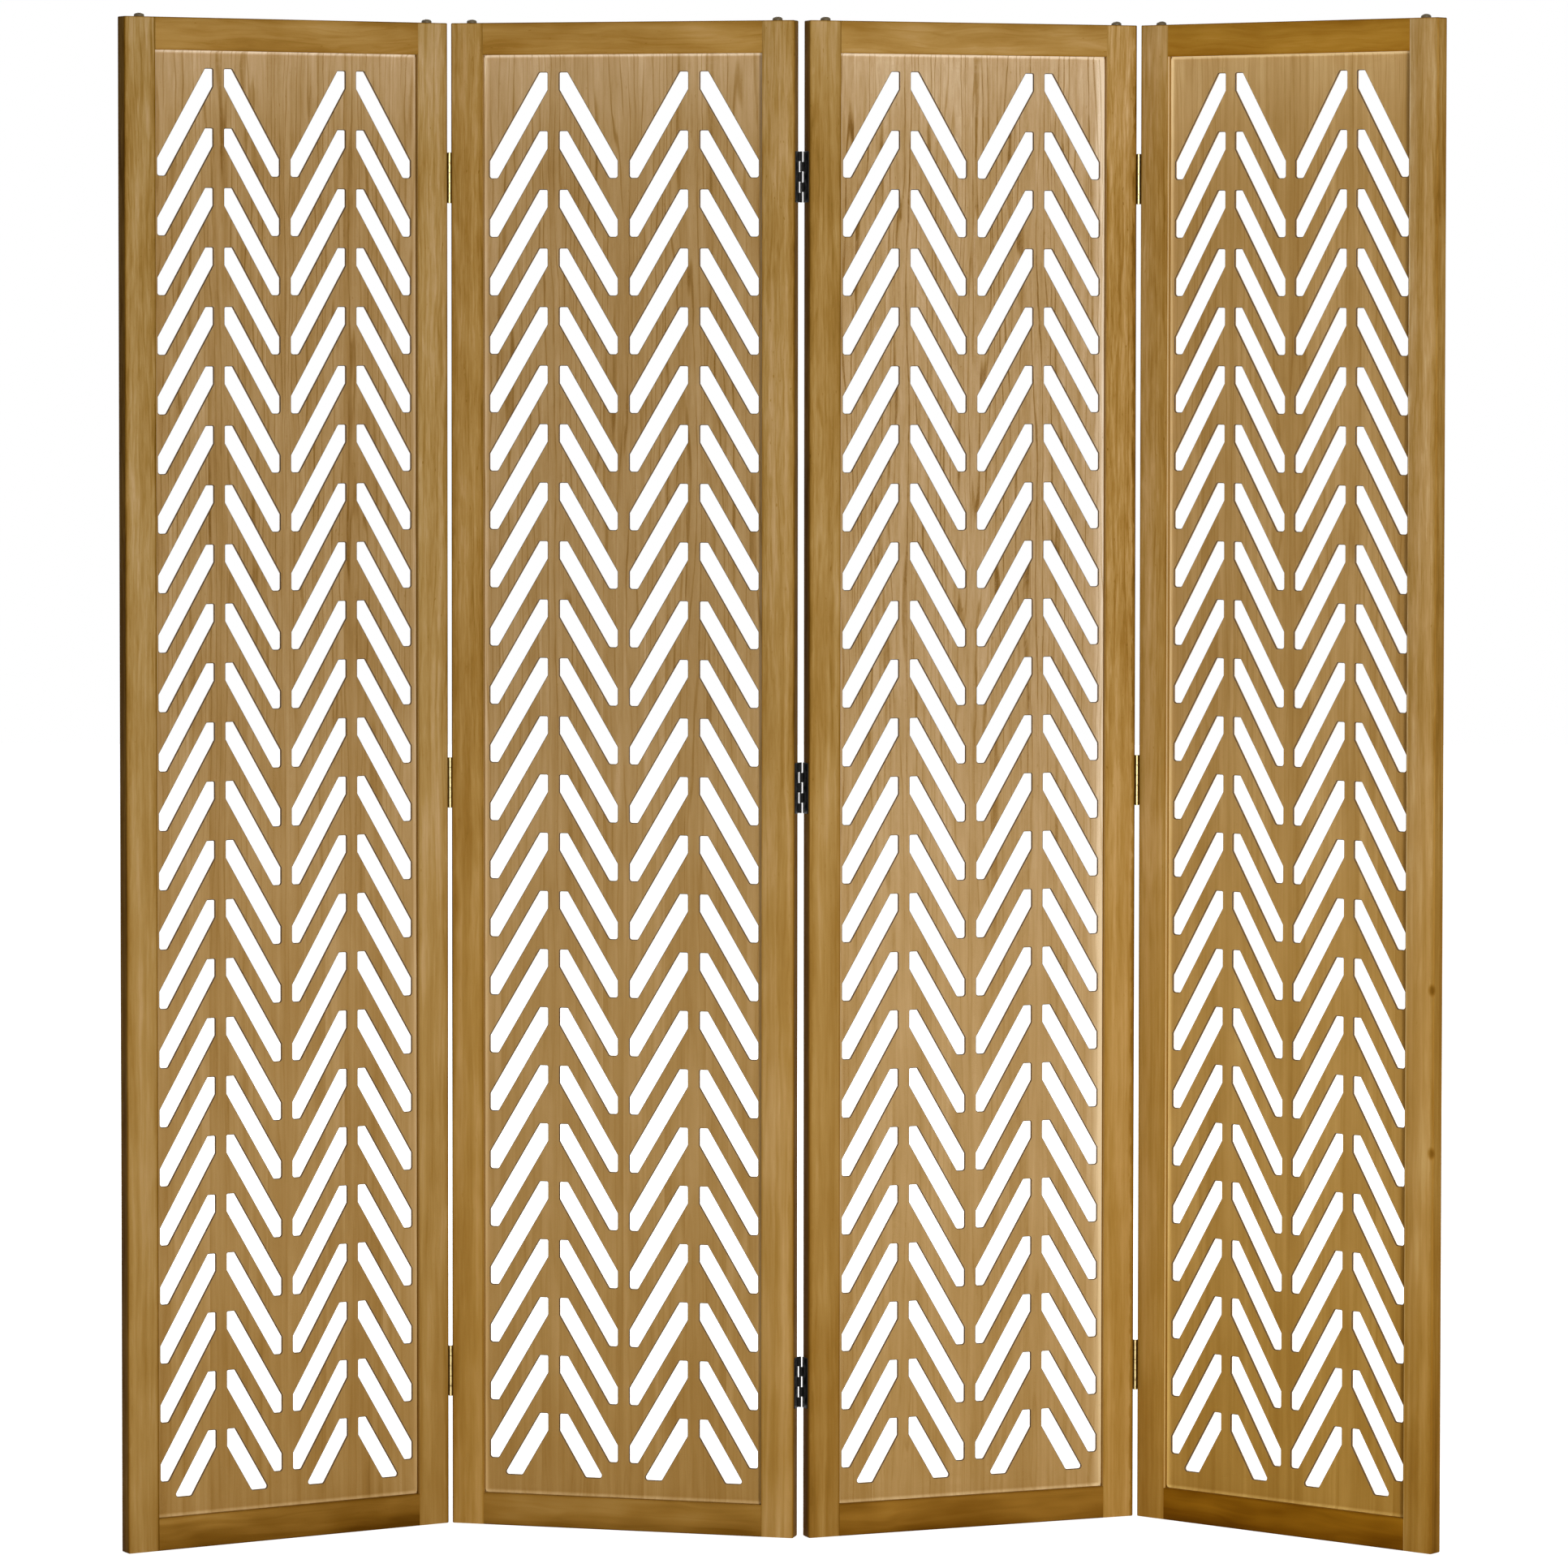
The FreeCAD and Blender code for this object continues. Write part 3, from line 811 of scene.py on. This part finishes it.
def rail(number, level, space):
    """A crosspiece between the stiles, grooved for the board."""
    low = 0 if level == "bottom" else PANEL_HEIGHT - RAIL_HEIGHT
    high = low + RAIL_HEIGHT
    mesh = bmesh.new()
    add_box(mesh, (-HALF_OPENING, FRONT, low), (HALF_OPENING, -FRONT, high))
    long_edges = [edge for edge in mesh.edges if abs(edge.verts[0].co.x - edge.verts[1].co.x) > HALF_OPENING]
    bevel(mesh, long_edges, ARRIS, ARRIS_STEPS)
    name = f"panel_{number}_{level}_rail"
    piece = finished(f"{name}_wood", mesh, space, f"panel_{number}", "frame_wood", [RAIL_WOOD],
                     **rail_look(number, level, level))
    groove = (high - GROOVE_DEPTH, high + ARRIS) if level == "bottom" else (low - ARRIS, low + GROOVE_DEPTH)
    cut_with_box(piece, (-HALF_OPENING - ARRIS, -GROOVE_WIDTH / 2, groove[0]),
                 (HALF_OPENING + ARRIS, GROOVE_WIDTH / 2, groove[1]))
    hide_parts(name)
    tenons(name, number, level, space, low, high)


def tenons(rail_name, number, level, space, low, high):
    """The stub tenons on a rail's ends, which sit in the grooves of the stiles."""
    bottom, top = (low, high - GROOVE_DEPTH) if level == "bottom" else (low + GROOVE_DEPTH, high)
    mesh = bmesh.new()
    for side in (-1, 1):
        left, right = sorted((side * HALF_OPENING, side * (HALF_OPENING + BOARD_REACH)))
        add_box(mesh, (left, -BOARD_THICKNESS / 2, bottom), (right, BOARD_THICKNESS / 2, top))
    bevel(mesh, sharp_edges(mesh), TENON_ARRIS, 1)
    finished(f"{rail_name}_tenons", mesh, space, f"panel_{number}", "frame_wood", [RAIL_WOOD],
             **rail_look(number, level, "tenons"))


def trimmed(outline, level, keep):
    """The part of an outline of (x, z, radius) corners above the level where keep is 1, or below it where
    keep is -1. The cut's own corners get the radius of a slot's bottom or top."""
    radius = SLOT_BOTTOM_RADIUS if keep == 1 else SLOT_TOP_RADIUS
    kept = []
    for (x0, z0, corner_radius), (x1, z1, _) in zip(outline, outline[1:] + outline[:1]):
        inside, next_inside = keep * (z0 - level) >= 0, keep * (z1 - level) >= 0
        if inside:
            kept.append((x0, z0, corner_radius))
        if inside != next_inside:
            share = (level - z0) / (z1 - z0)
            kept.append((x0 + share * (x1 - x0), level, radius))
    return kept


def slot_outline(left, width, top, lowest, leans_right):
    """The corners of one slot with their radii, counter-clockwise from the front."""
    rise = width * math.tan(SLOT_ANGLE)
    end_height = SLOT_OPENING / math.cos(SLOT_ANGLE)
    base = top + SLOT_TOP_TRIM - rise - end_height
    strip = [(0, base), (width, base + rise), (width, base + rise + end_height), (0, base + end_height)]
    strip = [(x, z, SLOT_SIDE_RADIUS) for x, z in strip]
    strip = trimmed(strip, top, -1)
    strip = trimmed(strip, max(lowest, base + SLOT_BOTTOM_TRIM), 1)
    if leans_right:
        return [(left + x, z, radius) for x, z, radius in strip]
    return [(left + width - x, z, radius) for x, z, radius in reversed(strip)]


def slot_outlines():
    """All slots of a board, in columns that lean together in pairs."""
    pattern_width = 2 * (HALF_OPENING - PATTERN_SIDE_MARGIN)
    width = (pattern_width - (SLOT_COLUMNS - 1) * WEB_WIDTH) / SLOT_COLUMNS
    top = PANEL_HEIGHT - RAIL_HEIGHT - PATTERN_TOP_MARGIN
    bottom = RAIL_HEIGHT + PATTERN_BOTTOM_MARGIN
    rows = 1 + int((top - bottom - SHORTEST_SLOT) / SLOT_PITCH)
    outlines = []
    for column in range(SLOT_COLUMNS):
        left = -pattern_width / 2 + column * (width + WEB_WIDTH)
        for row in range(rows):
            outlines.append(slot_outline(left, width, top - row * SLOT_PITCH, bottom, column % 2 == 0))
    return outlines


def border_ring(mesh, inset, depth):
    """Vertices round the board, at a distance inside the frame's opening."""
    half = HALF_OPENING - inset
    low, high = RAIL_HEIGHT + inset, PANEL_HEIGHT - RAIL_HEIGHT - inset
    corners = [(-half, low), (half, low), (half, high), (-half, high)]
    outline = rounded(corners, [COVE_CORNER_RADIUS] * len(corners), COVE_CORNER_STEPS)
    return [mesh.verts.new((x, depth, z)) for x, z in outline]


def slot_ring(mesh, outline, widening, depth):
    """Vertices round a slot, with the slot made wider by a distance."""
    corners = grown([corner[:2] for corner in outline], widening)
    radii = [corner[2] + widening for corner in outline]
    return [mesh.verts.new((x, depth, z)) for x, z in rounded(corners, radii, SLOT_CORNER_STEPS)]


def join_rings(mesh, rings, material_indices):
    """Faces between rings that have as many vertices, with a material for each strip."""
    for lower, upper, material_index in zip(rings, rings[1:], material_indices):
        for index in range(len(lower)):
            following = (index + 1) % len(lower)
            face = mesh.faces.new((lower[index], lower[following], upper[following], upper[index]))
            face.material_index = material_index


def ring_edges(mesh, ring):
    """The edges along a ring."""
    return [mesh.edges.get(pair) for pair in zip(ring, ring[1:] + ring[:1])]


def fretwork(number, space):
    """The thin board with its slots, whose cut edges have a dark chamfer of painted shade. Where it meets the
    frame its face rises in a small cove."""
    front, back = -BOARD_THICKNESS / 2, BOARD_THICKNESS / 2
    mesh = bmesh.new()
    steps = [(inset * MM, front - rise * MM) for inset, rise in COVE_PROFILE]
    steps += [(steps[-1][0], front), (-BOARD_REACH, front), (-BOARD_REACH, back)]
    border = [border_ring(mesh, inset, depth) for inset, depth in steps]
    join_rings(mesh, border, [0] * len(border))
    front_edges, back_edges = ring_edges(mesh, border[0]), ring_edges(mesh, border[-1])
    # Each slot's rim is a dark chamfer of painted shade
    levels = ((front, SLOT_SHADE_CHAMFER), (front + SLOT_SHADE_CHAMFER, 0),
              (back - SLOT_SHADE_CHAMFER, 0), (back, SLOT_SHADE_CHAMFER))
    for outline in slot_outlines():
        rings = [slot_ring(mesh, outline, widening, depth) for depth, widening in levels]
        join_rings(mesh, rings, (1, 2, 1))
        front_edges += ring_edges(mesh, rings[0])
        back_edges += ring_edges(mesh, rings[-1])
    for edges in (front_edges, back_edges):
        bmesh.ops.triangle_fill(mesh, use_beauty=True, use_dissolve=False, edges=edges)
    name = f"panel_{number}_fretwork"
    # Painted light beside the frame on each side, and painted shadow on panel 4's right
    left_border, right_border = PAINTED_BORDER_TONES[number]
    piece = finished(f"{name}_board", mesh, space, f"panel_{number}", "fretwork_wood",
                     [BOARD_WOOD, SLOT_SHADE_WOOD, CUT_WOOD], sharp_angle=BOARD_SHARP_ANGLE,
                     seed=number + SEEDS["board"], tone=PANEL_TONES[number] + BOARD_TONES[number],
                     warmth=BOARD_WARMTHS[number], grain=BOARD_GRAINS[number],
                     left_border=left_border, right_border=right_border)
    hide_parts(name)


def cap(number, side, space):
    """A small domed cap on the top of a stile."""
    name = f"panel_{number}_{side}_cap"
    place = space.inverted() @ centre(name)
    crown_rise = CAP_HEIGHT - CAP_RIM_HEIGHT
    crown = [(CAP_RADIUS * math.cos(angle), CAP_RIM_HEIGHT + crown_rise * math.sin(angle))
             for angle in [math.pi / 2 * step / CAP_STEPS for step in range(CAP_STEPS)]]
    profile = [(0, 0), (CAP_RADIUS - ARRIS / 2, 0), (CAP_RADIUS, ARRIS / 2)] + crown + [(0, CAP_HEIGHT)]
    mesh = bmesh.new()
    lathe(mesh, profile, CAP_TURNS, Matrix.Translation((place.x, place.y, PANEL_HEIGHT)))
    piece = finished(f"{name}_dome", mesh, space, f"panel_{number}", "cap", [CAP_PLASTIC])
    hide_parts(name)


def hinge_space(edge, line, base):
    """From a hinge's space to its panel's: X runs from the hinge axis into the panel, Y through the
    panel from the face with the barrels, and Z up from the hinge's bottom."""
    inward = 1 if edge == "left" else -1
    through = 1 if HINGE_FACES[line] == "front" else -1
    axis_x = -inward * (PANEL_WIDTH / 2 + LEAF_GAPS[line] / 2)
    axis_y = -through * (FRAME_THICKNESS / 2 + BARREL_RADII[line] + BARREL_CLEARANCE)
    return Matrix.Translation((axis_x, axis_y, base)) @ Matrix.Diagonal((inward, through, 1, 1))


def knuckle_heights(index):
    """The bottom and top of one knuckle."""
    length = (HINGE_LENGTH - (KNUCKLES - 1) * KNUCKLE_GAP) / KNUCKLES
    low = index * (length + KNUCKLE_GAP)
    return low, low + length


def plate(mesh, near, far, start):
    """A leaf's plate, with rounded corners on the side away from the barrels."""
    add_box(mesh, (near, start, 0), (far, start + LEAF_WIDTH, HINGE_LENGTH))
    far_edges = [edge for edge in mesh.edges
                 if all(vertex.co.y > start + LEAF_WIDTH / 2 for vertex in edge.verts)
                 and abs(edge.verts[0].co.x - edge.verts[1].co.x) > LEAF_THICKNESS / 2]
    bevel(mesh, far_edges, LEAF_CORNER_RADIUS, LEAF_CORNER_STEPS)
    bevel(mesh, sharp_edges(mesh), LEAF_ARRIS, ARRIS_STEPS)


def neck_outline(barrel, near, far, start):
    """A leaf's bend from its plate to a barrel, whose metal it ends in."""
    reach = NECK_REACH_SHARE * barrel
    foot, head = Vector((far, start - LEAF_THICKNESS)), Vector((near, start))
    lower, upper = Vector((0, -LEAF_THICKNESS / 2)), Vector((0, LEAF_THICKNESS / 2))
    lower += (foot - lower).normalized() * reach
    upper += (head - upper).normalized() * reach
    overlap = Vector((0, ARRIS))
    return [lower, foot, Vector((far, start)) + overlap, head + overlap, head, upper]


def knuckle(mesh, outer, inner, low, high):
    """A round tube with softened ends."""
    soft = BARREL_SOFTENING
    profile = [(inner, low), (outer - soft, low), (outer, low + soft), (outer, high - soft),
               (outer - soft, high), (inner, high), (inner, low)]
    lathe(mesh, profile, BARREL_TURNS, Matrix.Identity(4))


def paint_highlight(mesh, barrel, outward):
    """Notes how strong the painted highlight is at each point of a leaf: full where the barrel looks straight
    forward.
    """
    layer = mesh.verts.layers.float.new("painted_highlight")
    for vertex in mesh.verts:
        share = (vertex.co.dot(outward) / barrel - HIGHLIGHT_FROM_SHARE) / (1 - HIGHLIGHT_FROM_SHARE)
        vertex[layer] = max(0, min(1, share))


def leaf(line, level, side, number, space, metal):
    """A hinge leaf: its plate on the panel's edge, and its knuckles round the pin."""
    name = f"hinge_{line}_{level}_{side}_leaf"
    edge = "right" if side == "left" else "left"
    local = hinge_space(edge, line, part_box(name)[0].z)
    near, far = LEAF_GAPS[line] / 2 - LEAF_THICKNESS, LEAF_GAPS[line] / 2
    barrel, bore = BARREL_RADII[line], PIN_RADII[line] + PIN_CLEARANCE
    start = barrel + BARREL_CLEARANCE
    mesh = bmesh.new()
    plate(mesh, near, far, start)
    for index in range(0 if edge == "right" else 1, KNUCKLES, 2):
        low, high = knuckle_heights(index)
        knuckle(mesh, barrel, bore, low, high)
        extrude_outline(mesh, neck_outline(barrel, near, far, start), low + LEAF_ARRIS, high - LEAF_ARRIS)
    # The front of each barrel gets a painted highlight
    paint_highlight(mesh, barrel, (space @ local).to_3x3().inverted() @ Vector((0, -1, 0)))
    bmesh.ops.transform(mesh, matrix=local, verts=mesh.verts)
    piece = finished(f"{name}_metal", mesh, space, f"panel_{number}", f"{metal}_leaf", [HINGE_METALS[metal]])
    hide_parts(name)
    screws(name, metal, near, start, number, space, local)


def screws(leaf_name, metal, face, start, number, space, local):
    """The countersunk screws of a leaf, from how far its face and its start lie from the hinge axis."""
    mesh = bmesh.new()
    dome = [(SCREW_RADIUS * share, SCREW_RISE * (1 - share ** 2)) for share in SCREW_HEAD_SHARES]
    profile = [(0, -SCREW_DEPTH), (SCREW_RADIUS, -SCREW_DEPTH)] + dome + [(0, SCREW_RISE)]
    for depth_share, height_share in SCREW_PLACE_SHARES:
        place = Matrix.Translation((face, start + depth_share * LEAF_WIDTH, height_share * HINGE_LENGTH))
        lathe(mesh, profile, SMALL_TURNS, place @ Matrix.Rotation(-math.pi / 2, 4, "Y"))
    bmesh.ops.transform(mesh, matrix=local, verts=mesh.verts)
    finished(leaf_name.replace("leaf", "screws"), mesh, space, f"panel_{number}", f"{metal}_leaf",
             [HINGE_METALS[metal]])


def pin(line, level, number, space, metal):
    """The pin of a hinge, with softened ends."""
    name = f"hinge_{line}_{level}_pin"
    radius, soft = PIN_RADII[line], PIN_SOFTENING
    profile = [(0, 0), (radius - soft, 0), (radius, soft), (radius, HINGE_LENGTH - soft),
               (radius - soft, HINGE_LENGTH), (0, HINGE_LENGTH)]
    mesh = bmesh.new()
    lathe(mesh, profile, SMALL_TURNS, hinge_space("right", line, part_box(name)[0].z))
    piece = finished(f"{name}_metal", mesh, space, f"panel_{number}", f"{metal}_pin", [HINGE_METALS[metal]])
    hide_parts(name)


def build_screen():
    """Every piece of the screen, panel by panel and hinge by hinge."""
    spaces = {number: panel_space(number) for number in PANELS}
    for number, space in spaces.items():
        for side in ("left", "right"):
            stile(number, side, space)
            cap(number, side, space)
        for level in ("bottom", "top"):
            rail(number, level, space)
        fretwork(number, space)
    for line in HINGE_LINES:
        metal = "brass" if HINGE_FACES[line] == "front" else "black"
        for level in HINGE_LEVELS:
            leaf(line, level, "left", line, spaces[line], metal)
            leaf(line, level, "right", line + 1, spaces[line + 1], metal)
            pin(line, level, line, spaces[line], metal)


def seen(add):
    """1 for what the camera, a reflection or clear glass sees, and 0 for light that falls on things."""
    path = add("ShaderNodeLightPath").outputs
    mirrored = maths(add, "MAXIMUM", path["Is Glossy Ray"], path["Is Transmission Ray"])
    return maths(add, "MAXIMUM", path["Is Camera Ray"], mirrored)


def floor_paint():
    """Pale paint that looks white and keeps the object's shadow. It gets plain white further out."""
    material, tree, shader, add = node_tree("floor_paint")
    away = from_zero(add, own_place(add))
    glow = faded(add, away, FLOOR_SHADOW_REACH, 2 * FLOOR_SHADOW_REACH, FLOOR_GLOW, 1)
    tree.links.new(product(add, glow, seen(add)), shader.inputs["Emission Strength"])
    shader.inputs["Emission Color"].default_value = colour(*WHITE)
    shader.inputs["Base Color"].default_value = colour(*FLOOR_SHADE)
    shader.inputs["Roughness"].default_value = FLOOR_ROUGHNESS
    shader.inputs["Specular IOR Level"].default_value = FLOOR_GLOSS
    return material


def floor():
    """A plain floor under the feet of the screen."""
    mesh = bmesh.new()
    bmesh.ops.create_grid(mesh, x_segments=1, y_segments=1, size=FLOOR_REACH)
    sheet = placed("floor", mesh_data("floor", mesh))
    sheet.data.materials.append(floor_paint())
    sheet.location.z = -FLOOR_DROP


def white_world():
    """A soft even light from all round, which looks white."""
    world = bpy.data.worlds.new("studio")
    bpy.context.scene.world = world
    world.use_nodes = True
    tree = world.node_tree
    add = node_adder(tree)
    background = tree.nodes["Background"]
    background.inputs["Color"].default_value = colour(*WHITE)
    tree.links.new(maths(add, "MAXIMUM", seen(add), WORLD_LIGHT), background.inputs["Strength"])


def lamps():
    """A small key lamp on the right, a wide one in front and one high up behind."""
    for name, azimuth, distance, height, size, light in LAMPS:
        turn = math.radians(azimuth)
        place = Vector((distance * math.sin(turn), -distance * math.cos(turn), height))
        aim = Vector((0, 0, PANEL_HEIGHT / 2)) - place
        data = bpy.data.lights.new(name, "AREA")
        data.size = size
        data.energy = light * (math.pi * aim.length) ** 2
        lamp = placed(name, data)
        lamp.location = place
        lamp.rotation_euler = aim.to_track_quat("-Z", "Y").to_euler()
        lamp.visible_camera = False


def camera():
    """The photograph's viewpoint."""
    data = bpy.data.cameras.new("camera")
    data.lens = CAMERA_LENS
    data.sensor_width = CAMERA_SENSOR
    data.shift_y = CAMERA_SHIFT
    data.clip_end = CAMERA_RANGE
    view = placed("camera", data)
    view.location = CAMERA_PLACE
    view.rotation_euler = (math.pi / 2 - CAMERA_PITCH, CAMERA_ROLL, 0)
    bpy.context.scene.camera = view


camera()
floor()
white_world()
lamps()
build_screen()
bpy.context.scene.view_settings.view_transform = "Standard"
